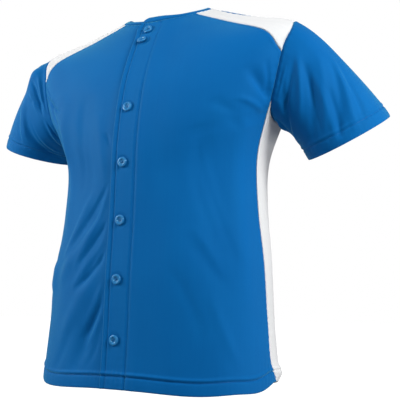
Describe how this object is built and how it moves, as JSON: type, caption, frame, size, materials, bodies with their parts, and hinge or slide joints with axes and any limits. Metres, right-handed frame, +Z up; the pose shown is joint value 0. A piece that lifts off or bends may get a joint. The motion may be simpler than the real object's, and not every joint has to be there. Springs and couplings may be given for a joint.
{
  "type": "baseball jersey",
  "caption": "Short-sleeved jersey with a full-length button placket, round neckband, contrast yokes and side panels, filled out as if worn and open at neck, hem and cuffs.",
  "frame": {"origin": "between the two points where the neck meets the shoulders", "axes": "+Z up, front towards -Y, the wearer's left towards +X"},
  "size_m": [0.7849, 0.3002, 0.6752],
  "materials": {
    "blue_cloth": "smooth polyester knit, slight sheen",
    "white_cloth": "smooth polyester knit, slight sheen",
    "button_plastic": "glossy"
  },
  "bodies": {
    "root": {"front_left": "blue_cloth", "front_right": "blue_cloth", "placket_left": "blue_cloth", "placket_right": "blue_cloth", "back": "blue_cloth", "sleeve_left": "blue_cloth", "sleeve_right": "blue_cloth", "neckband": "blue_cloth", "side_left": "white_cloth", "side_right": "white_cloth", "yoke_left": "white_cloth", "yoke_right": "white_cloth", "button_1": "button_plastic", "button_2": "button_plastic", "button_3": "button_plastic", "button_4": "button_plastic", "button_5": "button_plastic", "button_6": "button_plastic", "button_7": "button_plastic"}
  },
  "joints": []
}
